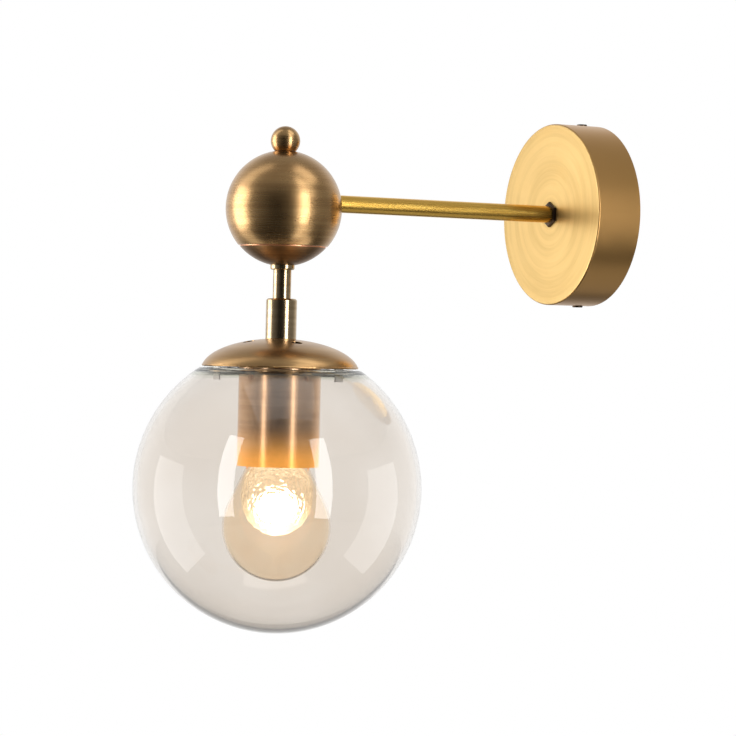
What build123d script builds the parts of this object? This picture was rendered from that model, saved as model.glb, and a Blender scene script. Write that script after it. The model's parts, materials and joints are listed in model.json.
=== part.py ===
from build123d import *
import os
from math import sqrt

# Globe wall sconce, in millimetres.
# The wall is the plane Y = 0 and the room is on its -Y side. +Z is up and X runs along the wall.
# The origin is the centre of the cover's back, on the axis of the arm.
# Heights of everything that hangs on the lamp's upright axis are counted from the ball's centre.

# Clearances
seat_gap = 0.02             # between a fixed piece and its seat
running_gap = 0.06          # round anything that turns or slides in a hole
glass_gap = 0.3             # between the glass and the seal above it
turning_gap = 0.12          # between the knob and the ball

# Cover, wall strap and wall fixings
canopy_radius = 49.0
canopy_depth = 26.0
canopy_wall = 1.2
canopy_round = 0.8
strap_width = 25.0
strap_thickness = 2.0
flange_width = 16.0
flange_depth = 16.0
flange_gap = 0.3
slot_spacing = 66.0
slot_length = 12.0
slot_width = 4.6
cable_hole_radius = 8.0
earth_screw_radius = 1.75
earth_head_radius = 3.4
earth_head_height = 2.2
earth_screw_drop = 16.0     # below the arm's axis
side_screw_radius = 2.0
side_screw_depth = 7.0      # from the wall
side_screw_head_radius = 2.8
side_screw_head_height = 0.8
side_screw_length = 8.0
drive_slot_width = 0.9
drive_slot_depth = 0.4

# Terminal block
block_width = 24.0
block_height = 15.0
block_depth = 12.0
block_bottom = 12.0         # above the arm's axis
pole_pitch = 8.0
pole_radius = 2.3
clamp_bore_radius = 1.35
clamp_length = 13.0
clamp_screw_radius = 1.2
clamp_screw_pitch = 7.0
block_screw_radius = 1.2
block_screw_head_radius = 1.7
block_screw_head_height = 1.0

# Arm and its nuts
arm_radius = 4.55
arm_bore_radius = 3.3
arm_reach = 161.0           # from the cover's front to the lamp's upright axis
arm_tail = 11.0             # length inside the cover
lock_nut_width = 12.0
lock_nut_thickness = 1.5
nut_bevel = 0.5
washer_radius = 9.0
washer_thickness = 1.0
tag_radius = 7.6
tag_thickness = 0.5
tag_width = 4.0
tag_reach = 11.5
rear_nut_width = 14.0
rear_nut_thickness = 4.0
bush_bore_radius = 2.6
bush_flange_thickness = 1.5
bush_spigot = 4.0

# Ball, knob and hub
ball_radius = 30.0
ball_wall = 1.2
seam_drop = 19.3            # below the ball's centre
seam_gap = 0.3
cap_step = 0.25             # the bottom piece is this much smaller
cap_lip_height = 2.0
cap_lip_wall = 1.0
seam_bevel = 0.3
arm_rise = 3.8              # arm's axis above the ball's centre
finial_radius = 7.6
knob_rise = 4.9             # knob's centre above the ball's top
stud_radius = 2.0
stud_in_knob = 7.0
hub_radius = 11.0
hub_top = 17.0
hub_bottom = 12.0
hub_pocket_radius = 6.0
arm_seat_setback = 7.5      # arm's end from the upright axis
stem_socket_depth = 7.0

# Stem, sleeve and pipe
stem_radius = 4.7
stem_bore_radius = 3.3
collar_radius = 6.3
collar_reach = 1.85         # its lower end below the ball's bottom piece
collar_round = 0.9
sleeve_radius = 8.0
sleeve_top_drop = 46.4
sleeve_bevel = 0.8
stem_in_sleeve = 7.0
nipple_radius = 5.0
nipple_bore_radius = 3.5
nipple_in_sleeve = 10.0

# Dome
dome_top_drop = 67.0        # crown below the ball's centre
dome_overhang = 3.5         # of its elliptical section beyond the glass's mouth
dome_rise = 17.0
dome_wall = 1.0
rim_drop = 81.3             # centre of the rolled rim
rim_roll_radius = 0.6
rim_gap = 0.7               # between the rim and the glass
vent_count = 4
vent_radius = 3.0
vent_ring_radius = 18.3
spacer_radius = 8.0
spacer_height = 4.2

# Glass globe and what grips it
globe_radius = 74.5
globe_wall = 2.2
mouth_radius = 37.3
lip_width = 4.3             # of the flat top round the mouth
lip_wall = 3.4
lip_height = 3.6
lip_round = 1.3
gasket_overhang = 0.1       # inwards of the glass's mouth
clip_count = 3
clip_first_angle = 30.0
clip_width = 7.0
clip_thickness = 0.8
clip_disc_radius = 12.0
clip_elbow_radius = 22.5
clip_shoulder_drop = 7.0    # from the disc down to the finger's top
clip_finger_length = 9.5
pad_thickness = 0.95
pad_gap = 0.35              # between a pad and the glass
pad_height = 3.4

# Lamp cup
cup_radius = 21.2
cup_wall = 0.8
cup_height = 59.5
cup_vent_radius = 2.5
cup_vent_ring_radius = 14.0
ring_groove_depth = 0.25
ring_groove_width = 0.5
ring_groove_pitch = 2.4
ring_groove_count = 3
ring_groove_rise = 1.6      # lowest groove above the cup's edge
shade_nut_width = 15.0
shade_nut_thickness = 3.5

# Lampholder
holder_radius = 19.0
holder_wall = 2.0
holder_top_wall = 2.5
holder_gap = 0.5            # under the nut
nipple_in_holder = 3.9
holder_cavity = 5.7
insert_thickness = 9.0
skirt_overlap = 4.0         # of the cap over the insert
skirt_ledge_radius = 15.2
skirt_length = 37.0
shell_radius = 13.28        # bore that takes the bulb's screw cap
shell_wall = 0.5
shell_length = 24.0
bridge_thickness = 0.6
bridge_width = 6.0
bridge_tail = 5.6
terminal_centre = 10.5
terminal_size = 5.0
terminal_depth = 6.0
terminal_clearance = 0.4    # under the cap
terminal_head_radius = 1.7
terminal_head_height = 1.0
rivet_radius = 1.0
plunger_radius = 3.0
plunger_flange_radius = 4.2
plunger_flange_thickness = 1.0
plunger_guide = 4.0         # length of its bore in the insert
plunger_reach = 2.5         # below the insert
spring_wire_radius = 0.25
spring_turns = 4

# Bulb
cap_radius = 13.2           # crests of the bulb's screw cap
cap_length = 21.0
thread_pitch = 3.6
thread_depth = 0.9
thread_count = 4
cap_wall = 0.7
bulb_contact_radius = 4.5
bulb_contact_thickness = 0.8
insulator_radius = 9.0
insulator_thickness = 1.4
collar_bulb_radius = 14.6
collar_bulb_length = 7.0
bulb_radius = 28.0
bulb_centre_drop = 164.3    # below the ball's centre
bulb_glass_wall = 0.9
guide_radius = 19.0
guide_half_height = 21.0
guide_centre_drop = 148.0
guide_foot_radius = 6.0
board_radius = 11.2
board_thickness = 1.2
driver_width = 15.0
driver_height = 16.0

# Wires
wire_radius = 0.9
wire_offset = 1.1           # of each wire from the arm's axis
wire_depth = 8.0            # from the wall, where the wires rise to the terminal block
wire_in_clamp = 4.0
earth_wire_rise = 9.6

# Places that follow from the sizes above
lamp_y = -(canopy_depth + arm_reach)
ball_z = -arm_rise
finial_rise = ball_radius + knob_rise
collar_drop = ball_radius - cap_step + collar_reach
canopy_inside = canopy_depth - canopy_wall
arm_start = canopy_inside - arm_tail
arm_end = canopy_depth + arm_reach - arm_seat_setback
dome_level = -(dome_top_drop + dome_rise)
dome_half_width = mouth_radius + dome_overhang
spacer_share = spacer_radius / (dome_half_width - dome_wall)
dome_underside = dome_level + (dome_rise - dome_wall) * sqrt(1 - spacer_share**2)
clip_top = dome_underside - spacer_height
cup_top = clip_top - clip_thickness
cup_bottom = cup_top - cup_height
nut_top = cup_top - cup_wall
holder_top = nut_top - shade_nut_thickness - holder_gap
nipple_bottom = holder_top - nipple_in_holder
cavity_top = holder_top - holder_top_wall
insert_top = cavity_top - holder_cavity
insert_bottom = insert_top - insert_thickness
plunger_tip = insert_bottom - plunger_reach
bulb_top = plunger_tip - running_gap
cap_top = bulb_top - bulb_contact_thickness - insulator_thickness
cap_bottom = cap_top - cap_length
bulb_neck = cap_bottom - collar_bulb_length + 1.0
board_top = cap_bottom - 1.0
wire_exit = (nipple_bottom + insert_top) / 2
rim_share = (dome_top_drop + dome_rise - rim_drop) / dome_rise
rim_ring_radius = dome_half_width * sqrt(1 - rim_share**2) - dome_wall / 2
lip_top = -(rim_drop + rim_roll_radius + rim_gap)
globe_drop = sqrt(globe_radius**2 - (mouth_radius + lip_width) ** 2) - lip_top
gasket_bottom = lip_top + glass_gap
gasket_outer_radius = rim_ring_radius - rim_roll_radius - seat_gap
gasket_inner_radius = mouth_radius - gasket_overhang
clip_finger_radius = mouth_radius - pad_gap - pad_thickness    # outer face of a finger


def rod(radius, low, high):
    return Pos(0, 0, low) * Cylinder(radius, high - low, align=(Align.CENTER, Align.CENTER, Align.MIN))


def tube(outer, inner, low, high):
    return rod(outer, low, high) - rod(inner, low - 1, high + 1)


def hexagon(across_flats, low, high):
    shape = Pos(0, 0, low) * extrude(RegularPolygon(across_flats / 2, 6, major_radius=False), high - low)
    return chamfer(shape.faces().sort_by(Axis.Z)[-1].edges(), nut_bevel)


def brick(x_size, y_size, low, high):
    return Pos(0, 0, low) * Box(x_size, y_size, high - low, align=(Align.CENTER, Align.CENTER, Align.MIN))


def from_wall(shape):
    # A shape made upright, its height counted from the wall into the room
    return Rot(90, 0, 0) * shape


def on_lamp(shape):
    # A shape on the lamp's upright axis, its height counted from the ball's centre
    return Pos(0, lamp_y, ball_z) * shape


def turned(outline):
    # A closed outline of (radius, height) edges, turned about the upright axis
    return revolve(Plane.XZ * make_face(outline), Axis.Z)


def half_ellipse(half_width, rise, level):
    arc = EllipticalCenterArc((0, level), half_width, rise, start_angle=0, arc_size=90)
    floor = Line((0, level), arc @ 0)
    axis = Line(arc @ 1, (0, level))
    return turned([floor, arc, axis])


def side_screw(side):
    # Screw in the cover's side; side is +1 for the top and -1 for the bottom
    head_low = canopy_radius + seat_gap
    head = rod(side_screw_head_radius, head_low, head_low + side_screw_head_height)
    head = fillet(head.faces().sort_by(Axis.Z)[-1].edges(), side_screw_head_height / 2)
    slot = brick(2 * side_screw_head_radius + 1, drive_slot_width,
                 head_low + side_screw_head_height - drive_slot_depth, head_low + 2 * side_screw_head_height)
    shank = rod(side_screw_radius, head_low - side_screw_length, head_low)
    turn = 0 if side > 0 else 180
    return Pos(0, -side_screw_depth, 0) * Rot(turn, 0, 0) * (head + shank - slot)


def side_hole(side, height):
    turn = 0 if side > 0 else 180
    hole = rod(side_screw_radius + running_gap, height - 6, height + 6)
    return Pos(0, -side_screw_depth, 0) * Rot(turn, 0, 0) * hole


def wall_bracket():
    flange_face = sqrt((canopy_radius - canopy_wall - flange_gap) ** 2 - (flange_width / 2) ** 2)
    strap = from_wall(brick(strap_width, 2 * flange_face, 0, strap_thickness))
    strap = strap & from_wall(rod(canopy_radius - canopy_wall - flange_gap, 0, strap_thickness))
    flanges = []
    for side in (1, -1):
        middle = side * (flange_face - strap_thickness / 2)
        flange = from_wall(Pos(0, middle, 0) * brick(flange_width, strap_thickness, 0, flange_depth))
        flanges.append(flange)
    shape = strap + flanges
    shape -= from_wall(rod(cable_hole_radius, -1, strap_thickness + 1))
    for side in (1, -1):
        slot = extrude(SlotOverall(slot_length, slot_width), strap_thickness + 2)
        shape -= from_wall(Pos(0, side * slot_spacing / 2, -1) * Rot(0, 0, 90) * slot)
        shape -= side_hole(side, flange_face)
    shape -= from_wall(Pos(0, -earth_screw_drop, 0) * rod(earth_screw_radius + seat_gap, -1, strap_thickness + 1))
    shape -= from_wall(block_screw_place() * rod(block_screw_radius + seat_gap, -1, strap_thickness + 1))
    return shape


def earth_screw():
    head_low = strap_thickness + seat_gap
    shape = rod(earth_screw_radius, 0.2, head_low)
    shape += rod(earth_head_radius, head_low, head_low + earth_head_height)
    shape -= brick(2 * earth_head_radius + 1, drive_slot_width, head_low + earth_head_height / 2, 9)
    return from_wall(Pos(0, -earth_screw_drop, 0) * shape)


def canopy():
    shape = rod(canopy_radius, 0, canopy_depth)
    shape = fillet(shape.faces().sort_by(Axis.Z)[-1].edges(), canopy_round)
    shape -= rod(canopy_radius - canopy_wall, -1, canopy_inside)
    shape -= rod(arm_radius + seat_gap, 0, canopy_depth + 1)
    shape = from_wall(shape)
    for side in (1, -1):
        shape -= side_hole(side, canopy_radius)
    return shape


def pole_places():
    return [column * pole_pitch for column in (-1, 0, 1)]


def block_middle():
    return block_bottom + block_height / 2


def block_front():
    return strap_thickness + seat_gap + block_depth


def clamp_screw_places():
    places = []
    for x in pole_places():
        for row in (-0.5, 0.5):
            places.append(Pos(x, block_middle() + row * clamp_screw_pitch, 0))
    return places


def block_screw_place():
    return Pos(-pole_pitch / 2, block_middle(), 0)


def terminal_block():
    shape = brick(block_width, block_height, strap_thickness + seat_gap, block_front())
    shape = fillet(shape.edges().filter_by(Axis.Z), 1.0)
    shape = Pos(0, block_middle(), 0) * shape
    for x in pole_places():
        bore = Rot(-90, 0, 0) * rod(pole_radius, -block_height, block_height)
        shape -= Pos(x, block_middle(), wire_depth) * bore
    for place in clamp_screw_places():
        shape -= place * rod(clamp_screw_radius + 0.2, wire_depth, block_front() + 1)
    shape -= block_screw_place() * rod(block_screw_radius + seat_gap, 0, block_front() + 1)
    head_low = block_front() - block_screw_head_height
    shape -= block_screw_place() * rod(block_screw_head_radius + seat_gap, head_low, block_front() + 1)
    return from_wall(shape)


def terminal_clamps():
    clamps = []
    for x in pole_places():
        bar = tube(pole_radius - seat_gap, clamp_bore_radius, -clamp_length / 2, clamp_length / 2)
        clamp = Pos(x, block_middle(), wire_depth) * Rot(-90, 0, 0) * bar
        for place in clamp_screw_places():
            clamp -= place * rod(clamp_screw_radius + seat_gap, wire_depth, block_front() + 1)
        clamps.append(from_wall(clamp))
    return Compound(clamps)


def terminal_screws():
    screws = []
    low = wire_depth + wire_radius + seat_gap
    for place in clamp_screw_places():
        screw = rod(clamp_screw_radius, low, block_front() - 1)
        screw -= brick(2 * clamp_screw_radius + 1, 0.5, block_front() - 1.6, block_front())
        screws.append(from_wall(place * screw))
    return Compound(screws)


def block_screw():
    head_low = block_front() - block_screw_head_height + seat_gap
    shape = rod(block_screw_radius, 0.3, head_low) + rod(block_screw_head_radius, head_low, block_front())
    shape -= brick(2 * block_screw_head_radius + 1, 0.5, block_front() - 0.5, block_front() + 1)
    return from_wall(block_screw_place() * shape)


def arm_tube():
    return from_wall(tube(arm_radius, arm_bore_radius, arm_start, arm_end))


def arm_lock_nut():
    # One corner points up
    low = canopy_depth
    shape = hexagon(lock_nut_width, low, low + lock_nut_thickness) - rod(arm_radius + seat_gap, low - 1, low + 9)
    return from_wall(Rot(0, 0, 30) * shape)


def washer_low():
    return canopy_inside - washer_thickness


def tag_low():
    return washer_low() - tag_thickness


def arm_washer():
    return from_wall(tube(washer_radius, arm_radius + seat_gap, washer_low(), canopy_inside))


def earth_tag():
    shape = rod(tag_radius, tag_low(), washer_low())
    shape += Pos(0, tag_reach / 2, 0) * brick(tag_width, tag_reach, tag_low(), washer_low())
    shape -= rod(arm_radius + seat_gap, 0, canopy_depth)
    return from_wall(shape)


def arm_rear_nut():
    low = tag_low() - rear_nut_thickness
    nut = Rot(180, 0, 0) * hexagon(rear_nut_width, -tag_low(), -low)
    return from_wall(nut - rod(arm_radius + seat_gap, low - 1, tag_low() + 1))


def arm_bush():
    shape = rod(arm_radius, arm_start - bush_flange_thickness, arm_start)
    shape = fillet(shape.faces().sort_by(Axis.Z)[0].edges(), bush_flange_thickness / 2)
    shape += rod(arm_bore_radius - seat_gap, arm_start - bush_flange_thickness / 2, arm_start + bush_spigot)
    shape -= rod(bush_bore_radius, 0, canopy_depth + bush_spigot)
    return from_wall(shape)


def arm_line(radius, low, high):
    # A rod along the arm's axis, counted from the upright axis towards the wall, in the ball's heights
    return Pos(0, 0, arm_rise) * Rot(-90, 0, 0) * rod(radius, low, high)


def ball_hub():
    shape = rod(hub_radius, -hub_bottom, hub_top)
    shape = chamfer(shape.edges().filter_by(GeomType.CIRCLE), 0.8)
    shape -= arm_line(hub_pocket_radius, -hub_radius - 1, arm_seat_setback)
    shape -= arm_line(arm_radius + seat_gap, arm_seat_setback - 1, hub_radius + 1)
    shape -= rod(stem_bore_radius, -hub_bottom, arm_rise)
    shape -= rod(stem_radius + seat_gap, -hub_bottom - 1, -hub_bottom + stem_socket_depth)
    shape -= rod(stud_radius + running_gap, arm_rise, hub_top + 1)
    return on_lamp(shape)


def ball_shell():
    shape = Sphere(ball_radius) - Sphere(ball_radius - ball_wall)
    shape &= brick(3 * ball_radius, 3 * ball_radius, -seam_drop, 2 * ball_radius)
    edge = shape.edges().filter_by(GeomType.CIRCLE).group_by(Axis.Z)[0].sort_by(SortBy.RADIUS)[-1]
    shape = chamfer(edge, seam_bevel)
    shape -= arm_line(arm_radius + 4 * running_gap, 0, ball_radius + 1)
    shape -= rod(stud_radius + 2 * running_gap, 0, ball_radius + 1)
    return on_lamp(shape)


def ball_cap():
    outer = ball_radius - cap_step
    inner = outer - ball_wall
    shape = Sphere(outer) - Sphere(inner)
    top = -(seam_drop + seam_gap)
    shape &= brick(3 * ball_radius, 3 * ball_radius, -2 * ball_radius, top)
    edge = shape.edges().filter_by(GeomType.CIRCLE).group_by(Axis.Z)[-1].sort_by(SortBy.RADIUS)[-1]
    shape = chamfer(edge, seam_bevel)
    lip = sqrt((ball_radius - ball_wall) ** 2 - seam_drop**2) - seat_gap
    shape += tube(lip, lip - cap_lip_wall, top - cap_lip_height / 2, top + cap_lip_height)
    shape -= rod(stem_radius + seat_gap, -ball_radius - 1, 0)
    return on_lamp(shape)


def finial_knob():
    shape = Pos(0, 0, finial_rise) * Sphere(finial_radius)
    shape -= Sphere(ball_radius + turning_gap)
    shape -= rod(stud_radius + seat_gap, 0, finial_rise + stud_in_knob - finial_radius + 2)
    return on_lamp(shape)


def finial_stud():
    top = finial_rise + stud_in_knob - finial_radius + 2 - seat_gap
    low = arm_rise + hub_pocket_radius + 0.6
    return on_lamp(chamfer(rod(stud_radius, low, top).edges().filter_by(GeomType.CIRCLE), 0.4))


def stem_collar():
    shape = tube(collar_radius, stem_radius + seat_gap, -collar_drop, -ball_radius / 2)
    edge = shape.edges().filter_by(GeomType.CIRCLE).group_by(Axis.Z)[0].sort_by(SortBy.RADIUS)[-1]
    shape = fillet(edge, collar_round)
    shape -= Sphere(ball_radius - cap_step + seat_gap)
    return on_lamp(shape)


def stem_tube():
    top = -hub_bottom + stem_socket_depth - seat_gap
    return on_lamp(tube(stem_radius, stem_bore_radius, -(sleeve_top_drop + stem_in_sleeve), top))


def stem_sleeve():
    shape = rod(sleeve_radius, -dome_top_drop, -sleeve_top_drop)
    shape = chamfer(shape.faces().sort_by(Axis.Z)[-1].edges(), sleeve_bevel)
    shape -= rod(stem_radius + seat_gap, -(sleeve_top_drop + stem_in_sleeve + seat_gap), 0)
    shape -= rod(nipple_radius + seat_gap, -dome_top_drop - 1, -dome_top_drop + nipple_in_sleeve + seat_gap)
    shape -= rod(stem_bore_radius, -dome_top_drop, -sleeve_top_drop)
    return on_lamp(shape)


def shade_nipple():
    return on_lamp(tube(nipple_radius, nipple_bore_radius, nipple_bottom, -dome_top_drop + nipple_in_sleeve))


def vent_places(ring_radius):
    return PolarLocations(ring_radius, vent_count)


def dome_cap():
    shape = half_ellipse(dome_half_width, dome_rise, dome_level)
    shape -= half_ellipse(dome_half_width - dome_wall, dome_rise - dome_wall, dome_level)
    shape &= brick(3 * dome_half_width, 3 * dome_half_width, -rim_drop, 0)
    shape += Pos(0, 0, -rim_drop) * Torus(rim_ring_radius, rim_roll_radius)
    shape += rod(sleeve_radius, dome_underside, -dome_top_drop)
    shape -= rod(nipple_radius + seat_gap, -dome_top_drop - 9, 0)
    for place in vent_places(vent_ring_radius):
        shape -= place * rod(vent_radius, dome_level, 0)
    return on_lamp(shape)


def dome_spacer():
    return on_lamp(tube(spacer_radius, nipple_radius + seat_gap, clip_top, dome_underside))


def clip_arm():
    # One finger: out over the cup, down the dome's slope, and along the inside of the glass's lip
    inner_face = clip_finger_radius - clip_thickness
    shoulder = clip_top - clip_shoulder_drop
    tip = shoulder - clip_finger_length
    outline = Polyline(
        (nipple_radius + 2, clip_top),
        (clip_elbow_radius, clip_top),
        (clip_finger_radius, shoulder),
        (clip_finger_radius, tip),
        (inner_face, tip),
        (inner_face, shoulder - clip_thickness / 2),
        (clip_elbow_radius - clip_thickness / 2, clip_top - clip_thickness),
        (nipple_radius + 2, clip_top - clip_thickness),
        close=True,
    )
    return extrude(Plane.XZ * make_face(outline), clip_width / 2, both=True)


def clip_places():
    return PolarLocations(0, clip_count, start_angle=clip_first_angle)


def glass_clips():
    shape = rod(clip_disc_radius, clip_top - clip_thickness, clip_top)
    for place in clip_places():
        shape += place * clip_arm()
    shape -= rod(nipple_radius + seat_gap, clip_top - 2, clip_top + 1)
    return on_lamp(shape)


def clip_pads():
    pads = []
    top = clip_top - clip_shoulder_drop - clip_finger_length / 2 + pad_height / 2
    reach = clip_finger_radius + pad_thickness
    for place in clip_places():
        pad = tube(reach, clip_finger_radius - 2, top - pad_height, top)
        pad &= Pos(clip_finger_radius + seat_gap, 0, 0) * Box(
            9, clip_width, 400, align=(Align.MIN, Align.CENTER, Align.CENTER))
        pads.append(on_lamp(place * pad))
    return Compound(pads)


def rim_gasket():
    shape = tube(gasket_outer_radius, gasket_inner_radius, gasket_bottom, -dome_top_drop)
    shape &= half_ellipse(dome_half_width - dome_wall - seat_gap, dome_rise - dome_wall - seat_gap, dome_level)
    return on_lamp(shape)


def glass_globe():
    centre = Pos(0, 0, -globe_drop)
    below = brick(3 * globe_radius, 3 * globe_radius, -globe_drop - 2 * globe_radius, lip_top)
    shape = centre * Sphere(globe_radius) - centre * Sphere(globe_radius - globe_wall)
    shape += tube(mouth_radius + lip_wall, mouth_radius, lip_top - lip_height, lip_top) & centre * Sphere(globe_radius)
    shape &= below
    shape -= rod(mouth_radius, lip_top - lip_height - 1, 0)
    low_edges = shape.edges().filter_by(GeomType.CIRCLE).filter_by_position(
        Axis.Z, lip_top - lip_height - 0.1, lip_top - lip_height + 0.1)
    shape = fillet(low_edges, lip_round)
    return on_lamp(shape)


def socket_cup():
    shape = rod(cup_radius, cup_bottom, cup_top)
    shape = fillet(shape.faces().sort_by(Axis.Z)[-1].edges(), 1.5)
    shape -= rod(cup_radius - cup_wall, cup_bottom - 1, nut_top)
    shape -= rod(nipple_radius + seat_gap, cup_bottom, cup_top + 1)
    for place in vent_places(cup_vent_ring_radius):
        shape -= place * rod(cup_vent_radius, cup_bottom, cup_top + 1)
    for step in range(ring_groove_count):
        low = cup_bottom + ring_groove_rise + step * ring_groove_pitch
        shape -= tube(cup_radius + 1, cup_radius - ring_groove_depth, low, low + ring_groove_width)
    return on_lamp(shape)


def shade_nut():
    nut = Rot(180, 0, 0) * hexagon(shade_nut_width, -nut_top, -nut_top + shade_nut_thickness)
    return on_lamp(nut - rod(nipple_radius + seat_gap, nut_top - 9, nut_top + 9))


def holder_cap():
    low = insert_top - skirt_overlap
    shape = rod(holder_radius, low, holder_top)
    shape = fillet(shape.faces().sort_by(Axis.Z)[-1].edges(), 1.5)
    shape -= rod(holder_radius - holder_wall, low - 1, cavity_top)
    shape -= rod(nipple_radius + seat_gap, low, holder_top + 1)
    return on_lamp(shape)


def holder_skirt():
    top = insert_top - skirt_overlap - seat_gap
    shape = tube(holder_radius, skirt_ledge_radius, top - skirt_length, top)
    shape -= rod(holder_radius - holder_wall, insert_bottom, top + 1)
    return on_lamp(shape)


def holder_insert():
    shape = rod(holder_radius - holder_wall - seat_gap, insert_bottom + seat_gap, insert_top)
    shape -= rod(plunger_radius + running_gap, insert_bottom - 1, insert_top)
    shape -= rod(plunger_flange_radius + 2 * running_gap, insert_bottom + plunger_guide, insert_top + 1)
    shape -= Pos(-terminal_centre, 0, 0) * rod(rivet_radius + seat_gap, insert_bottom - 1, insert_top + 1)
    return on_lamp(shape)


def screw_shell():
    shape = rod(shell_radius + shell_wall, insert_bottom - shell_length, insert_bottom)
    shape -= rod(shell_radius, insert_bottom - shell_length - 1, insert_bottom - shell_wall)
    shape -= rod(plunger_flange_radius + 1, insert_bottom - 2, insert_bottom + 1)
    return on_lamp(shape)


def contact_bridge():
    shape = brick(bridge_tail + terminal_centre + terminal_size / 2, bridge_width, insert_top,
                  insert_top + bridge_thickness)
    shift = (terminal_centre + terminal_size / 2 - bridge_tail) / 2
    return on_lamp(Pos(shift, 0, 0) * shape)


def terminal(side):
    low = insert_top + bridge_thickness + seat_gap
    shape = brick(terminal_size, terminal_depth, low, cavity_top - terminal_clearance)
    shape = Pos(side * terminal_centre, 0, 0) * shape
    across = Pos(0, 0, wire_exit) * Rot(0, 90, 0) * rod(wire_radius + seat_gap, -99, 99)
    return shape - across


def holder_terminals():
    # The live one stands on the contact's bridge, the other on the rivet to the screw shell
    live = terminal(1)
    neutral = terminal(-1)
    foot = brick(terminal_size, terminal_depth, insert_top, insert_top + bridge_thickness + seat_gap)
    neutral += Pos(-terminal_centre, 0, 0) * foot
    neutral -= Pos(-terminal_centre, 0, 0) * rod(rivet_radius + seat_gap, insert_top - 1, insert_top + 1.2)
    return Compound([on_lamp(live), on_lamp(neutral)])


def holder_screws():
    screws = []
    face = terminal_centre + terminal_size / 2
    for side in (1, -1):
        head = rod(terminal_head_radius, face, face + terminal_head_height)
        head -= brick(0.5, 9, face + terminal_head_height / 2, face + 9)
        shank = rod(wire_radius, face - terminal_size / 2, face + 0.1)
        screw = Pos(0, 0, wire_exit) * Rot(0, side * 90, 0) * (head + shank)
        screws.append(on_lamp(screw))
    return Compound(screws)


def shell_rivet():
    low = insert_bottom + seat_gap
    return on_lamp(Pos(-terminal_centre, 0, 0) * rod(rivet_radius, low, insert_top + 1.1))


def centre_contact():
    flange_low = insert_bottom + plunger_guide + seat_gap
    shape = rod(plunger_radius, plunger_tip, flange_low + plunger_flange_thickness)
    shape += rod(plunger_flange_radius, flange_low, flange_low + plunger_flange_thickness)
    shape = fillet(shape.faces().sort_by(Axis.Z)[0].edges(), 0.6)
    return on_lamp(shape)


def contact_spring():
    low = insert_bottom + plunger_guide + plunger_flange_thickness + 2 * seat_gap + spring_wire_radius
    high = insert_top - seat_gap - spring_wire_radius
    coil_radius = plunger_flange_radius - 3 * spring_wire_radius
    coil = Helix((high - low) / spring_turns, high - low, coil_radius)
    section = Plane(origin=coil @ 0, z_dir=coil % 0) * Circle(spring_wire_radius)
    return on_lamp(Pos(0, 0, low) * sweep(section, path=coil, is_frenet=True))


def bulb_contact():
    return on_lamp(chamfer(rod(bulb_contact_radius, bulb_top - bulb_contact_thickness, bulb_top)
                           .faces().sort_by(Axis.Z)[-1].edges(), 0.3))


def bulb_insulator():
    low = cap_top
    high = bulb_top - bulb_contact_thickness
    return on_lamp(Pos(0, 0, low) * Cone(insulator_radius, bulb_contact_radius + 0.5, high - low,
                                        align=(Align.CENTER, Align.CENTER, Align.MIN)))


def bulb_cap():
    bevel = cap_radius - insulator_radius - 0.2
    shape = rod(cap_radius, cap_bottom, cap_top)
    shape = chamfer(shape.faces().sort_by(Axis.Z)[-1].edges(), bevel)
    for step in range(thread_count):
        middle = cap_bottom + thread_pitch * (step + 0.7)
        shape -= Pos(0, 0, middle) * Torus(cap_radius + thread_pitch / 4, thread_pitch / 4 + thread_depth)
    shape -= rod(cap_radius - thread_depth - cap_wall, cap_bottom - 1, cap_top - bevel - cap_wall)
    shape -= rod(insulator_radius - bevel / 2, cap_bottom, cap_top - cap_wall)
    return on_lamp(shape)


def bulb_collar():
    shape = tube(collar_bulb_radius, cap_radius - 2, bulb_neck - 1, cap_bottom - seat_gap)
    return on_lamp(shape - bulb_form(0) - rod(board_radius + seat_gap, bulb_neck - 2, board_top + seat_gap))


def bulb_form(inset):
    # Pear shape: a sphere drawn up by a straight tangent to the neck, all of it moved in by inset
    radius = bulb_radius - inset
    neck_radius = collar_bulb_radius - 1.2 - inset
    neck_rise = bulb_neck + bulb_centre_drop
    reach = sqrt(neck_radius**2 + neck_rise**2)
    tangent = sqrt(reach**2 - radius**2)
    # Where the tangent meets the sphere, from the right triangle of centre, neck and touching point
    along = radius / reach
    across = tangent / reach
    touch_x = radius * (along * neck_radius + across * neck_rise) / reach
    touch_z = radius * (along * neck_rise - across * neck_radius) / reach
    far_x = radius * 0.8
    far_z = -radius * 0.6
    neck = Line((0, neck_rise), (neck_radius, neck_rise))
    side = Line((neck_radius, neck_rise), (touch_x, touch_z))
    bowl = ThreePointArc((touch_x, touch_z), (far_x, far_z), (0, -radius))
    axis = Line((0, -radius), (0, neck_rise))
    return Pos(0, 0, -bulb_centre_drop) * turned([neck, side, bowl, axis])


def bulb_envelope():
    shape = bulb_form(0) - bulb_form(bulb_glass_wall)
    shape -= rod(collar_bulb_radius - 1.2 - bulb_glass_wall, bulb_neck - 1, bulb_neck + 1)
    return on_lamp(shape)


def light_guide():
    arc = EllipticalCenterArc((0, 0), guide_radius, guide_half_height, start_angle=-90, arc_size=180)
    core = turned([arc, Line(arc @ 1, arc @ 0)])
    shape = Pos(0, 0, -guide_centre_drop) * core
    shape &= brick(99, 99, -guide_centre_drop - 2 * guide_half_height, bulb_neck - 1)
    shape += rod(guide_foot_radius, bulb_neck - 3, board_top - board_thickness - seat_gap)
    return on_lamp(shape)


def led_board():
    return on_lamp(rod(board_radius, board_top - board_thickness, board_top))


def driver_board():
    return on_lamp(brick(driver_width, board_thickness, board_top + seat_gap, board_top + driver_height))


def wire(points, radii):
    path = FilletPolyline(points, radius=radii)
    section = Plane(origin=path @ 0, z_dir=path % 0) * Circle(wire_radius)
    return sweep(section, path=path)


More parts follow.
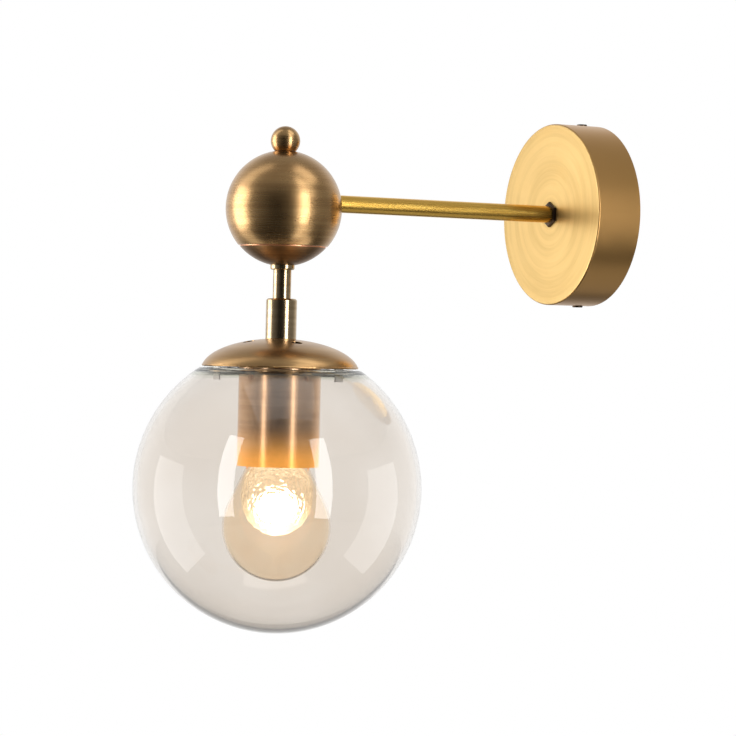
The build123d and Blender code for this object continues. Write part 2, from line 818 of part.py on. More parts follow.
def lamp_wire(side):
    # From the terminal block through the arm, the hub and the stem to the lampholder
    x = side * wire_offset
    pole = side * pole_pitch
    exit_z = ball_z + wire_exit
    points = [
        (pole, -wire_depth, block_bottom + wire_in_clamp),
        (pole, -wire_depth, block_bottom - 3.5),
        (x, -wire_depth, 0),
        (x, lamp_y, 0),
        (x, lamp_y, exit_z),
        (side * (terminal_centre - 0.5), lamp_y, exit_z),
    ]
    return wire(points, [4.0, 3.2, 5.5, 1.9])


def earth_wire():
    points = [
        (0, -tag_low(), earth_wire_rise),
        (0, -wire_depth, earth_wire_rise),
        (0, -wire_depth, block_bottom + wire_in_clamp),
    ]
    return wire(points, [2.5])


pieces = {
    "wall_bracket": wall_bracket(),
    "earth_screw": earth_screw(),
    "canopy": canopy(),
    "canopy_screw_top": side_screw(1),
    "canopy_screw_bottom": side_screw(-1),
    "terminal_block": terminal_block(),
    "terminal_clamps": terminal_clamps(),
    "terminal_screws": terminal_screws(),
    "block_screw": block_screw(),
    "arm_tube": arm_tube(),
    "arm_lock_nut": arm_lock_nut(),
    "arm_washer": arm_washer(),
    "arm_rear_nut": arm_rear_nut(),
    "earth_tag": earth_tag(),
    "arm_bush": arm_bush(),
    "ball_hub": ball_hub(),
    "ball_shell": ball_shell(),
    "ball_cap": ball_cap(),
    "finial_knob": finial_knob(),
    "finial_stud": finial_stud(),
    "stem_collar": stem_collar(),
    "stem_tube": stem_tube(),
    "stem_sleeve": stem_sleeve(),
    "shade_nipple": shade_nipple(),
    "dome_cap": dome_cap(),
    "dome_spacer": dome_spacer(),
    "glass_clips": glass_clips(),
    "clip_pads": clip_pads(),
    "rim_gasket": rim_gasket(),
    "glass_globe": glass_globe(),
    "socket_cup": socket_cup(),
    "shade_nut": shade_nut(),
    "holder_cap": holder_cap(),
    "holder_skirt": holder_skirt(),
    "holder_insert": holder_insert(),
    "screw_shell": screw_shell(),
    "contact_bridge": contact_bridge(),
    "holder_terminals": holder_terminals(),
    "holder_screws": holder_screws(),
    "shell_rivet": shell_rivet(),
    "centre_contact": centre_contact(),
    "contact_spring": contact_spring(),
    "bulb_contact": bulb_contact(),
    "bulb_insulator": bulb_insulator(),
    "bulb_cap": bulb_cap(),
    "bulb_collar": bulb_collar(),
    "bulb_envelope": bulb_envelope(),
    "light_guide": light_guide(),
    "led_board": led_board(),
    "driver_board": driver_board(),
    "live_wire": lamp_wire(1),
    "neutral_wire": lamp_wire(-1),
    "earth_wire": earth_wire(),
}

os.makedirs("parts", exist_ok=True)
for name, piece in pieces.items():
    export_step(piece, f"parts/{name}.step")
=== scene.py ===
import json
import math
import bpy
import bmesh
from mathutils import Matrix, Vector, noise


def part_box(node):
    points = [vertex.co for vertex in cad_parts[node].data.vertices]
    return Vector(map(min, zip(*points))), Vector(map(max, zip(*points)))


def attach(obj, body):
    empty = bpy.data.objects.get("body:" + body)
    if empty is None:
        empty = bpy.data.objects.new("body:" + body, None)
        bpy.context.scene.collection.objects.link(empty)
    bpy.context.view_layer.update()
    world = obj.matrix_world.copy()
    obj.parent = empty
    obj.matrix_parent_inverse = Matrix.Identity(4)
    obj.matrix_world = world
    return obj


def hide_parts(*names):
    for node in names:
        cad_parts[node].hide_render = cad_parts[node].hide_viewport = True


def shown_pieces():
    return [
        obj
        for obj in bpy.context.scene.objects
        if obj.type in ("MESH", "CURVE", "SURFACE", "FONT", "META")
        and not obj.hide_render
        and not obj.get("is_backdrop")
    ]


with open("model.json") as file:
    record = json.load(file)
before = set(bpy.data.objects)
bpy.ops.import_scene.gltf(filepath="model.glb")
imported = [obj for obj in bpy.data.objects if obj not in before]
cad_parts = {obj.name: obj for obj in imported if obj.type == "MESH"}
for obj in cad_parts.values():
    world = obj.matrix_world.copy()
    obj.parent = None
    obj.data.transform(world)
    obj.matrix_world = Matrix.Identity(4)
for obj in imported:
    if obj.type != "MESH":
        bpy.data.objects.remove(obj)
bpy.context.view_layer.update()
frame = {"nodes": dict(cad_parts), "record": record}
print("frame loaded")

mm = 0.001
lampY = (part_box("stem_tube")[0].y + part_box("stem_tube")[1].y) / 2
ballRadius = (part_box("ball_shell")[1].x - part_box("ball_shell")[0].x) / 2
ballCentre = Vector((0, lampY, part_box("ball_shell")[1].z - ballRadius))


def arc(middle, radius, start, end, count):
    # points on a circle, angles in degrees from the outward radius
    points = []
    for step in range(count + 1):
        angle = math.radians(start + (end - start) * step / count)
        points.append((middle[0] + radius * math.cos(angle), middle[1] + radius * math.sin(angle)))
    return points


def softened(corners, count):
    # corners are (radius, height, rounding); each is replaced by a small arc
    longest = 0.45    # share of the shorter side that an arc may take
    points = []
    for index, (r, h, rounding) in enumerate(corners):
        here = Vector((r, h))
        before = Vector(corners[index - 1][:2])
        after = Vector(corners[(index + 1) % len(corners)][:2])
        if rounding <= 0:
            points.append((r, h))
            continue
        toBefore = (before - here).normalized()
        toAfter = (after - here).normalized()
        half = toBefore.angle(toAfter) / 2
        shorter = min((before - here).length, (after - here).length)
        back = min(rounding / math.tan(half), shorter * longest)
        for step in range(count + 1):
            t = step / count
            start = here + toBefore * back
            end = here + toAfter * back
            point = start * (1 - t) ** 2 + here * 2 * t * (1 - t) + end * t ** 2
            points.append((point.x, point.y))
    return points


def settle(name, work, body, replaced, finish, smoothAngle):
    # moves a finished bmesh from the ball's centre into place and hands it to the frame
    for vert in work.verts:
        vert.co += ballCentre
    mesh = bpy.data.meshes.new(name)
    work.to_mesh(mesh)
    work.free()
    mesh.polygons.foreach_set("use_smooth", [smoothAngle > 0] * len(mesh.polygons))
    if smoothAngle > 0:
        mesh.set_sharp_from_angle(angle=math.radians(smoothAngle))
    piece = bpy.data.objects.new(name, mesh)
    bpy.context.scene.collection.objects.link(piece)
    piece.data.materials.append(finish)
    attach(piece, body)
    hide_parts(*replaced)


def turned(outline, steps):
    # spins a closed outline in millimetres about the upright axis
    work = bmesh.new()
    points = [work.verts.new((r * mm, 0, h * mm)) for r, h in outline]
    edges = [work.edges.new(pair) for pair in zip(points, points[1:] + points[:1])]
    bmesh.ops.spin(work, geom=points + edges, cent=(0, 0, 0), axis=(0, 0, 1), angle=2 * math.pi,
                   steps=steps, use_merge=True)
    bmesh.ops.remove_doubles(work, verts=work.verts, dist=0.001 * mm)    # the points on the axis
    bmesh.ops.recalc_face_normals(work, faces=work.faces)
    return work


def level(z):
    # height of a frame z in millimetres, counted from the ball's centre
    return (z - ballCentre.z) / mm


class Signal:
    # a socket that takes part in Python sums
    def __init__(self, finish, socket):
        self.finish = finish
        self.socket = socket

    def sum(self, operation, *values):
        return self.finish.node("ShaderNodeMath", {"operation": operation}, dict(enumerate(values)))

    def __add__(self, other):
        return self.sum("ADD", self, other)

    def __sub__(self, other):
        return self.sum("SUBTRACT", self, other)

    def __rsub__(self, other):
        return self.sum("SUBTRACT", other, self)

    def __mul__(self, other):
        return self.sum("MULTIPLY", self, other)

    def __truediv__(self, other):
        return self.sum("DIVIDE", self, other)

    __radd__ = __add__
    __rmul__ = __mul__

    def clipped(self):
        return self.finish.node("ShaderNodeClamp", {}, {"Value": self})

    def above(self, low, high):
        # 0 below low, 1 above high, smooth between
        return self.finish.node("ShaderNodeMapRange", {"interpolation_type": "SMOOTHSTEP"},
                                {"Value": self, "From Min": low, "From Max": high})


class Finish:
    # one node tree, of a material or of the world
    def __init__(self, name, owner=None):
        self.owner = owner or bpy.data.materials.new(name)
        self.owner.use_nodes = True
        self.tree = self.owner.node_tree
        self.tree.nodes.clear()

    def node(self, kind, settings, sockets, out=0):
        made = self.tree.nodes.new(kind)
        for key, value in settings.items():
            if key == "stops":
                while len(made.color_ramp.elements) < len(value):
                    made.color_ramp.elements.new(1.0)
                for element, (place, colour) in zip(made.color_ramp.elements, value):
                    element.position = place
                    element.color = (*colour, 1)
            else:
                setattr(made, key, value)
        for key, value in sockets.items():
            if isinstance(value, Signal):
                self.tree.links.new(value.socket, made.inputs[key])
            else:
                made.inputs[key].default_value = value
        return Signal(self, made.outputs[out])

    def close(self, shader, kind="ShaderNodeOutputMaterial"):
        made = self.tree.nodes.new(kind)
        self.tree.links.new(shader.socket, made.inputs["Surface"])

    def place(self, centre=(0, 0, 0)):
        # Object coordinates counted from a centre
        raw = self.node("ShaderNodeTexCoord", {}, {}, out="Object")
        return self.node("ShaderNodeMapping", {"vector_type": "POINT"},
                         {"Vector": raw, "Location": [-value for value in centre]})

    def axes(self, vector):
        made = self.tree.nodes.new("ShaderNodeSeparateXYZ")
        self.tree.links.new(vector.socket, made.inputs[0])
        return [Signal(self, made.outputs[key]) for key in "XYZ"]

    def vector(self, x, y, z):
        return self.node("ShaderNodeCombineXYZ", {}, {"X": x, "Y": y, "Z": z})

    def root(self, value):
        return self.node("ShaderNodeMath", {"operation": "SQRT"}, {0: value})

    def cloud(self, vector, scale, detail, roughness=0.5):
        return self.node("ShaderNodeTexNoise", {}, {"Vector": vector, "Scale": scale, "Detail": detail,
                                                    "Roughness": roughness}, out="Fac")

    def blend(self, share, first, second, way="MIX"):
        made = self.tree.nodes.new("ShaderNodeMix")
        made.data_type = "RGBA"
        made.blend_type = way
        for socket, value in ((made.inputs[0], share), (made.inputs[6], first), (made.inputs[7], second)):
            if isinstance(value, Signal):
                self.tree.links.new(value.socket, socket)
            elif isinstance(value, (int, float)):
                socket.default_value = value
            else:
                socket.default_value = (*value, 1)
        return Signal(self, made.outputs[2])

    def bump(self, height, strength, distance):
        return self.node("ShaderNodeBump", {}, {"Height": height, "Strength": strength, "Distance": distance},
                         out="Normal")

    def principled(self, sockets):
        return self.node("ShaderNodeBsdfPrincipled", {}, sockets, out="BSDF")


def banded(finish, tone, height, bands):
    # a band is (fades in from, full from, full to, fades out at, colour), in millimetres along the height
    for fadeIn, low, high, fadeOut, colour in bands:
        share = height.above(fadeIn * mm, low * mm) * (1 - height.above(high * mm, fadeOut * mm))
        tone = finish.blend(share, tone, colour)
    return tone


def turnedBrass(name, look):
    # brass turned on a lathe: fine rings round an axis, a patina and small stains
    finish = Finish(name)
    place = finish.place(look["centre"])
    x, y, z = finish.axes(place)
    if look["axis"] == "arm":
        across, along, side, second = x * x + z * z, y, x, z
    else:
        across, along, side, second = x * x + y * y, z, x, y
    radius = finish.root(across)
    travel = radius * look["faceShare"] + along
    around = look["aroundScale"]
    rings = finish.vector(travel * look["ringScale"], side * around, second * around)
    fine = finish.cloud(rings, 1.0, detail=4.0, roughness=0.65)
    broadScale, broadAround = look["ringScale"] * look["broadShare"], look["broadAround"]
    wideRings = finish.vector(travel * broadScale, side * broadAround, second * broadAround)
    broad = finish.cloud(wideRings, 1.0, detail=2.0)
    patina = finish.cloud(place, look["patinaScale"], detail=4.0, roughness=0.6)
    tone = finish.blend(broad.above(*look["broadEdge"]), look["dark"], look["light"])
    tone = finish.blend(fine.above(*look["ringEdge"]) * look["ringShow"], tone, look["shine"])
    tone = finish.blend(patina.above(*look["patinaEdge"]) * look["patinaShow"], tone, look["stain"])
    tone = banded(finish, tone, along, look.get("bands", []))
    if "sideEdge" in look:
        # painted shade: the side darker than the front face, changing by the radius
        start, full = look["sideEdge"]
        tone = finish.blend(radius.above(start * mm, full * mm), tone, look["paintedSideShade"])
    if "shellAt" in look:
        # painted shade: the inside of a domed shell and its vent walls turn dark, found from the half width
        # and rise of its outer form
        halfWidth, rise, foot = look["shellAt"]
        up = (along - foot * mm) / (rise * mm)
        form = across / (halfWidth * mm) ** 2 + up * up
        tone = finish.blend(form.above(*look["shellEdge"]), look["paintedInsideShade"], tone)
    dull = patina.above(*look["dullEdge"]) * look["dullness"]
    rough = look["roughness"] + (fine - 0.5) * look["roughSpread"] + dull
    relief = fine * look["ringRelief"] + broad * (1 - look["ringRelief"])
    sockets = {"Base Color": tone, "Metallic": 1.0, "Roughness": rough.clipped(),
               "Normal": finish.bump(relief, look["bump"], look["bumpDepth"]),
               "Coat Weight": look["lacquer"], "Coat Roughness": look["lacquerRough"]}
    if "paintedGlowBelow" in look:
        # painted glow: an orange emission on the lowest part, standing in for the lamp's warm light falling
        # on it
        full, start, warmth = look["paintedGlowBelow"]
        sockets["Emission Color"] = finish.blend(along.above(full * mm, start * mm), warmth, (0, 0, 0))
        sockets["Emission Strength"] = look["paintedGlowStrength"]
    finish.close(finish.principled(sockets))
    return finish.owner


brassLook = {"centre": ballCentre, "axis": "lamp", "faceShare": 0.7, "ringScale": 3600, "aroundScale": 60,
             "broadShare": 0.12, "broadAround": 14, "broadEdge": (0.35, 0.65), "ringEdge": (0.3, 0.75),
             "dark": (0.38, 0.220, 0.092), "light": (0.46, 0.280, 0.120), "shine": (0.60, 0.42, 0.21),
             "stain": (0.31, 0.170, 0.07), "ringShow": 0.22, "patinaScale": 45, "patinaShow": 0.3,
             "patinaEdge": (0.52, 0.74), "roughness": 0.27, "roughSpread": 0.06, "dullEdge": (0.5, 0.8),
             "dullness": 0.05, "bump": 0.14, "bumpDepth": 0.00003, "ringRelief": 0.6, "lacquer": 0.05,
             "lacquerRough": 0.12}
seamLine = (-19.95, -19.75, -19.2, -19.0, (0.86, 0.50, 0.30))    # lighter copper-coloured line along the seam between the ball's two pieces
antiqueBrass = turnedBrass("antiqueBrass", {**brassLook, "bands": [seamLine]})
# the ball's lower cap: the ball's brass painted darker, as painted shade under the ball, and rougher
shadedCapBrass = turnedBrass("shadedCapBrass", {**brassLook, "roughness": 0.36, "dark": (0.22, 0.120, 0.05),
                                    "light": (0.27, 0.155, 0.07), "shine": (0.42, 0.27, 0.14),
                                    "bands": [seamLine]})
# the dome: its inside and vent walls painted dark as painted shade
domeBrass = turnedBrass("domeBrass", {**brassLook, "roughness": 0.3, "shellAt": (40.8, 17.0, -84.0),
                                      "shellEdge": (0.955, 0.985), "paintedInsideShade": (0.06, 0.035, 0.02)})
# the cover: its side painted darker than its face as painted shade
coverBrass = turnedBrass("coverBrass", {**brassLook, "centre": (0, 0, 0), "axis": "arm", "ringScale": 1900,
                                        "faceShare": 1.0, "dark": (0.55, 0.36, 0.125),
                                        "light": (0.63, 0.42, 0.155), "shine": (0.74, 0.53, 0.24),
                                        "stain": (0.56, 0.35, 0.12), "ringShow": 0.25, "bump": 0.2,
                                        "roughness": 0.33, "sideEdge": (48.3, 48.8),
                                        "paintedSideShade": (0.57, 0.32, 0.11)})
stemBrass = turnedBrass("stemBrass", {**brassLook, "roughness": 0.17, "roughSpread": 0.04, "bump": 0.06,
                                      "dark": (0.42, 0.30, 0.165), "light": (0.50, 0.375, 0.225),
                                      "shine": (0.60, 0.48, 0.315)})
cupBrass = turnedBrass("cupBrass", {**brassLook, "roughness": 0.22, "dark": (0.66, 0.42, 0.25),
                                    "light": (0.74, 0.49, 0.30), "shine": (0.80, 0.58, 0.38), "bump": 0.10,
                                    # painted light: the lowest part orange, standing in for the bulb's warm
                                    # light falling on it
                                    "bands": [(-260, -250, -131.0, -119.0, (0.85, 0.42, 0.15))],
                                    # painted glow: orange emission on the lowest part for the bulb's light on
                                    # it
                                    "paintedGlowBelow": (-131.0, -110.0, (1.0, 0.44, 0.07)), "paintedGlowStrength": 0.6})


def brushedTube(name, look):
    # drawn brass tube, brushed along its length
    finish = Finish(name)
    place = finish.place()
    x, y, z = finish.axes(place)
    drawn = finish.vector(x * look["lineScale"], y * look["alongScale"], z * look["lineScale"])
    lines = finish.cloud(drawn, 1.0, detail=4.0, roughness=0.6)
    patina = finish.cloud(place, look["stainScale"], detail=3.0)
    tone = finish.blend(lines.above(*look["lineEdge"]), look["dark"], look["light"])
    tone = finish.blend(patina.above(*look["stainEdge"]) * look["stainShow"], tone, look["stain"])
    rough = look["roughness"] + (lines - 0.5) * look["roughSpread"]
    shader = finish.principled({"Base Color": tone, "Metallic": 1.0, "Roughness": rough.clipped(),
                                "Normal": finish.bump(lines, look["bump"], look["bumpDepth"])})
    finish.close(shader)
    return finish.owner


goldBrass = brushedTube("goldBrass", {"dark": (0.80, 0.45, 0.08), "light": (0.96, 0.62, 0.14),
                                      "stain": (0.66, 0.35, 0.06), "roughness": 0.27, "roughSpread": 0.1,
                                      "lineScale": 2600, "alongScale": 40, "lineEdge": (0.3, 0.7),
                                      "stainScale": 60, "stainEdge": (0.5, 0.75), "stainShow": 0.35,
                                      "bump": 0.3, "bumpDepth": 0.00003})


def plainMetal(name, look):
    # cut or plated metal with fine scratches and cloudy tarnish
    finish = Finish(name)
    place = finish.place()
    scratches = finish.cloud(place, look["scratchScale"], detail=5.0, roughness=0.7)
    tarnish = finish.cloud(place, look["tarnishScale"], detail=3.0)
    tone = finish.blend(tarnish.above(*look["tarnishEdge"]), look["light"], look["dark"])
    rough = look["roughness"] + (scratches - 0.5) * look["roughSpread"]
    shader = finish.principled({"Base Color": tone, "Metallic": 1.0, "Roughness": rough.clipped(),
                                "Normal": finish.bump(scratches, look["bump"], look["bumpDepth"])})
    finish.close(shader)
    return finish.owner


metalLook = {"light": (0.62, 0.62, 0.60), "dark": (0.42, 0.42, 0.41), "tarnishScale": 120,
             "tarnishEdge": (0.4, 0.7), "scratchScale": 1500, "roughness": 0.32, "roughSpread": 0.2,
             "bump": 0.25, "bumpDepth": 0.00003}
zincSteel = plainMetal("zincSteel", metalLook)
plainBrass = plainMetal("plainBrass", {**metalLook, "light": (0.74, 0.56, 0.27), "dark": (0.55, 0.38, 0.16)})
springSteel = plainMetal("springSteel", {**metalLook, "light": (0.82, 0.80, 0.77), "dark": (0.70, 0.69, 0.67),
                                         "roughness": 0.3})
darkNut = plainMetal("darkNut", {**metalLook, "light": (0.085, 0.055, 0.035), "dark": (0.04, 0.028, 0.02),
                                 "roughness": 0.3})
bulbMetal = plainMetal("bulbMetal", {**metalLook, "light": (0.80, 0.80, 0.79), "dark": (0.62, 0.62, 0.61),
                                     "roughness": 0.22})


def mouldedPlastic(name, look):
    # moulded, glazed or coated non-metal with a faint grain
    finish = Finish(name)
    place = finish.place()
    grain = finish.cloud(place, look["grainScale"], detail=4.0, roughness=0.6)
    dust = finish.cloud(place, look["dustScale"], detail=3.0)
    tone = finish.blend(dust.above(*look["dustEdge"]), look["light"], look["dark"])
    rough = look["roughness"] + (grain - 0.5) * look["roughSpread"]
    shader = finish.principled({"Base Color": tone, "Roughness": rough.clipped(),
                                "Normal": finish.bump(grain, look["bump"], look["bumpDepth"])})
    finish.close(shader)
    return finish.owner


plasticLook = {"light": (0.86, 0.86, 0.83), "dark": (0.80, 0.80, 0.76), "dustScale": 90,
               "dustEdge": (0.35, 0.7), "grainScale": 1800, "roughness": 0.45, "roughSpread": 0.12,
               "bump": 0.3, "bumpDepth": 0.00004}
whitePlastic = mouldedPlastic("whitePlastic", plasticLook)
blockPlastic = mouldedPlastic("blockPlastic", {**plasticLook, "light": (0.82, 0.82, 0.76),
                                               "dark": (0.74, 0.73, 0.67)})
blackPhenolic = mouldedPlastic("blackPhenolic", {**plasticLook, "light": (0.05, 0.045, 0.04),
                                                 "dark": (0.03, 0.028, 0.025), "roughness": 0.3})
glazedCeramic = mouldedPlastic("glazedCeramic", {**plasticLook, "light": (0.90, 0.89, 0.86),
                                                 "dark": (0.84, 0.83, 0.79), "roughness": 0.18})
blackGlass = mouldedPlastic("blackGlass", {**plasticLook, "light": (0.05, 0.04, 0.05),
                                           "dark": (0.025, 0.02, 0.025), "roughness": 0.1})
boardMask = mouldedPlastic("boardMask", {**plasticLook, "light": (0.84, 0.85, 0.83),
                                         "dark": (0.76, 0.77, 0.75), "roughness": 0.35})
brownCover = mouldedPlastic("brownCover", {**plasticLook, "light": (0.30, 0.16, 0.09),
                                           "dark": (0.24, 0.12, 0.07)})
blueCover = mouldedPlastic("blueCover", {**plasticLook, "light": (0.11, 0.23, 0.5),
                                         "dark": (0.08, 0.18, 0.42)})


def stripedCover(name, look):
    # earth wire: green with a yellow stripe along it
    finish = Finish(name)
    place = finish.place()
    x = finish.axes(place)[0]
    grain = finish.cloud(place, look["grainScale"], detail=3.0)
    tone = finish.blend((x * look["stripeScale"]).above(*look["stripeEdge"]), look["green"], look["yellow"])
    rough = look["roughness"] + (grain - 0.5) * look["roughSpread"]
    finish.close(finish.principled({"Base Color": tone, "Roughness": rough.clipped()}))
    return finish.owner


earthCover = stripedCover("earthCover", {"green": (0.10, 0.42, 0.12), "yellow": (0.75, 0.68, 0.08),
                                         "stripeScale": 2200, "stripeEdge": (-0.3, 0.3), "grainScale": 1500,
                                         "roughness": 0.4, "roughSpread": 0.1})


def blownGlass(name, look):
    # clear glass with a light tint, faint waves from blowing and a few seeds; lamps shine through it
    finish = Finish(name)
    place = finish.place(ballCentre)
    waves = finish.cloud(place, look["waveScale"], detail=2.0)
    seeds = finish.cloud(place, look["seedScale"], detail=2.0)
    tone = finish.blend(waves.above(*look["waveEdge"]), look["tint"], look["tintThin"])
    if "lipEdge" in look:
        start, full = look["lipEdge"]
        height = finish.axes(place)[2]
        tone = finish.blend(height.above(start * mm, full * mm), tone, look["lipTint"])
    glass = finish.principled({"Base Color": tone, "IOR": look["ior"], "Transmission Weight": 1.0,
                               "Roughness": seeds.above(*look["seedEdge"]) * look["seedRough"],
                               "Normal": finish.bump(waves, look["wave"], look["waveDepth"])})
    clear = finish.node("ShaderNodeBsdfTransparent", {}, {"Color": (*look["shade"], 1)})
    shadowRay = finish.node("ShaderNodeLightPath", {}, {}, out="Is Shadow Ray")
    finish.close(finish.node("ShaderNodeMixShader", {}, {0: shadowRay, 1: glass, 2: clear}))
    return finish.owner


glassLook = {"waveEdge": (0.3, 0.7), "waveDepth": 0.0002, "seedScale": 420, "seedEdge": (0.75, 0.85),
             "seedRough": 0.02}
globeGlass = blownGlass("globeGlass", {**glassLook, "waveScale": 18, "wave": 0.02, "ior": 1.48,
                                       "tint": (0.900, 0.855, 0.805), "tintThin": (0.935, 0.900, 0.860),
                                       "lipEdge": (-86.6, -86.2), "lipTint": (0.66, 0.66, 0.58),
                                       "shade": (0.93, 0.90, 0.87)})
clearRubber = blownGlass("clearRubber", {**glassLook, "waveScale": 300, "wave": 0.3, "ior": 1.1,
                                         "tint": (0.90, 0.89, 0.86), "tintThin": (0.94, 0.93, 0.91),
                                         "shade": (0.93, 0.92, 0.90)})
bulbGlass = blownGlass("bulbGlass", {**glassLook, "waveScale": 40, "wave": 0.03, "ior": 1.12,
                                     "tint": (0.985, 0.89, 0.77), "tintThin": (0.99, 0.92, 0.82),
                                     "shade": (0.98, 0.93, 0.85)})

glow = {"drop": 153.0, "coreRadius": 12.8, "haloRadius": 19.5, "strength": 1.9, "heart": (8.4, 7.0),
        "heartRough": 2.6, "heartSteps": 3, "footTop": -136.0, "footFade": 2.5, "footReach": (5.5, 9.5),
        "hot": (1.0, 0.95, 0.84), "warm": (1.0, 0.82, 0.56), "edge": (0.50, 0.40, 0.27),
        "hotEdge": (0.55, 0.95), "skin": 0.07, "crackScale": 420.0, "fleckEdge": (0.05, 0.35),
        "fleckShare": 0.22, "tint": (1.0, 0.95, 0.86), "roughness": 0.26, "ior": 1.34, "bump": 0.9,
        "bumpDepth": 0.0011}


def litCrystal(name, look):
    # clear crackled core, hot at its middle and amber towards its skin
    finish = Finish(name)
    middle = ballCentre - Vector((0, 0, look["drop"] * mm))
    place = finish.place(middle)
    x, y, z = finish.axes(place)
    reach = finish.root(x * x + y * y + z * z)
    heat = 1 - reach.above(look["coreRadius"] * mm, look["haloRadius"] * mm)
    cracks = finish.node("ShaderNodeTexVoronoi", {"feature": "F1"},
                         {"Vector": place, "Scale": look["crackScale"]}, out="Distance")
    flecks = 1 - cracks.above(*look["fleckEdge"])
    footLevel = (look["drop"] + look["footTop"]) * mm
    footIn, footOut = look["footReach"]
    foot = 1 - finish.root(x * x + y * y).above(footIn * mm, footOut * mm)
    heat = (heat + z.above(footLevel - look["footFade"] * mm, footLevel) * foot).clipped()
    tone = finish.blend(heat, look["edge"], look["warm"])
    tone = finish.blend(heat.above(*look["hotEdge"]), tone, look["hot"])
    share = heat + flecks * look["fleckShare"] + look["skin"]
    power = finish.blend(1.0, tone, finish.vector(share, share, share), "MULTIPLY")
    shader = finish.principled({"Base Color": (*look["tint"], 1), "Roughness": look["roughness"],
                                "IOR": look["ior"], "Transmission Weight": 1.0, "Emission Color": power,
                                "Emission Strength": look["strength"],
                                "Normal": finish.bump(cracks, look["bump"], look["bumpDepth"])})
    finish.close(shader)
    return finish.owner


crystalCore = litCrystal("crystalCore", glow)
print("finishes made")


globe = {"wall": 2.2, "mouthRadius": 37.3, "lipWall": 3.4, "lipHeight": 3.6, "grooveReach": 0.9,
         "grooveRise": 0.3, "startBack": 0.5, "edgeBack": 0.2, "grooveRound": 0.6, "footRound": 1.2,
         "lipRound": 1.4, "mouthRound": 0.9, "edgeRound": 0.6, "roundSteps": 6, "steps": 220, "rings": 90,
         "smooth": 60}


def makeGlobe():
    # a thin sphere with a thick lip rolled in at its mouth
    low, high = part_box("glass_globe")
    radius = (high.x - low.x) / 2 / mm
    centreLevel = level(low.z) + radius
    lipTop = level(high.z)
    lipLow = lipTop - globe["lipHeight"]
    mouth = globe["mouthRadius"]
    lipOuter = mouth + globe["lipWall"]
    edge = math.sqrt(radius ** 2 - (lipTop - centreLevel) ** 2) - globe["edgeBack"]
    inner = radius - globe["wall"]
    start = math.degrees(math.asin((lipTop - centreLevel) / radius)) - globe["startBack"]
    groove = math.degrees(math.acos((lipOuter + globe["grooveReach"]) / inner))
    outline = arc((0, centreLevel), radius, start, -90, globe["rings"])
    outline[-1] = (0, centreLevel - radius)
    inside = arc((0, centreLevel), inner, -90, groove, globe["rings"])
    inside[0] = (0, centreLevel - inner)
    outline += inside
    grooveTop = centreLevel + math.sqrt(inner ** 2 - lipOuter ** 2) - globe["grooveRise"]
    corners = [(*outline[-1], 0), (lipOuter, grooveTop, globe["grooveRound"]),
               (lipOuter, lipLow, globe["footRound"]), (mouth, lipLow, globe["lipRound"]),
               (mouth, lipTop, globe["mouthRound"]), (edge, lipTop, globe["edgeRound"]), (*outline[0], 0)]
    outline += softened(corners, globe["roundSteps"])[1:-1]
    work = turned(outline, globe["steps"])
    settle("glassGlobe", work, "globe", ["glass_globe"], globeGlass, globe["smooth"])


makeGlobe()


bulb = {"wall": 0.9, "neckRadius": 13.4, "shoulderSteps": 12, "steps": 128, "rings": 60, "smooth": 60,
        "coreRadius": 18.6, "coreHalfHeight": 20.6, "coreDrop": 148.0, "coreSteps": 4, "facetDepth": 0.9,
        "facetScale": 7.0, "cutBelow": 1.0, "footRadius": 5.8, "footGap": 0.2, "footSteps": 48}


def bulbOutline(radius, neckRadius, neckLevel, centreLevel):
    # sphere with a straight shoulder that leaves it without a bend and ends at the neck
    rise = neckLevel - centreLevel
    reach = math.hypot(neckRadius, rise)
    start = 90 - math.degrees(math.acos(radius / reach)) - math.degrees(math.atan2(neckRadius, rise))
    sphere = arc((0, centreLevel), radius, start, -90, bulb["rings"])
    sphere[-1] = (0, centreLevel - radius)
    touchRadius, touchLevel = sphere[0]
    shoulder = []
    for step in range(bulb["shoulderSteps"]):
        share = step / bulb["shoulderSteps"]
        shoulder.append((neckRadius + (touchRadius - neckRadius) * share,
                         neckLevel + (touchLevel - neckLevel) * share))
    return shoulder + sphere


def makeBulb():
    low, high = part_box("bulb_envelope")
    radius = (high.x - low.x) / 2 / mm
    centreLevel = level(low.z) + radius
    neckLevel = level(high.z)
    outer = bulbOutline(radius, bulb["neckRadius"], neckLevel, centreLevel)
    inner = bulbOutline(radius - bulb["wall"], bulb["neckRadius"] - bulb["wall"], neckLevel, centreLevel)
    work = turned(outer + inner[::-1], bulb["steps"])
    settle("bulbGlass", work, "bulb", ["bulb_envelope"], bulbGlass, bulb["smooth"])


def crumple(work, sizes, roughness, drop, steps):
    # adds an icosphere drawn to its half sizes, its facets pushed in or out a little
    for vert in bmesh.ops.create_icosphere(work, subdivisions=steps, radius=1.0)["verts"]:
        push = noise.noise(vert.co * bulb["facetScale"]) * roughness
        width, height = sizes[0] + push, sizes[1] + push
        vert.co = Vector((width * vert.co.x, width * vert.co.y, height * vert.co.z - drop)) * mm


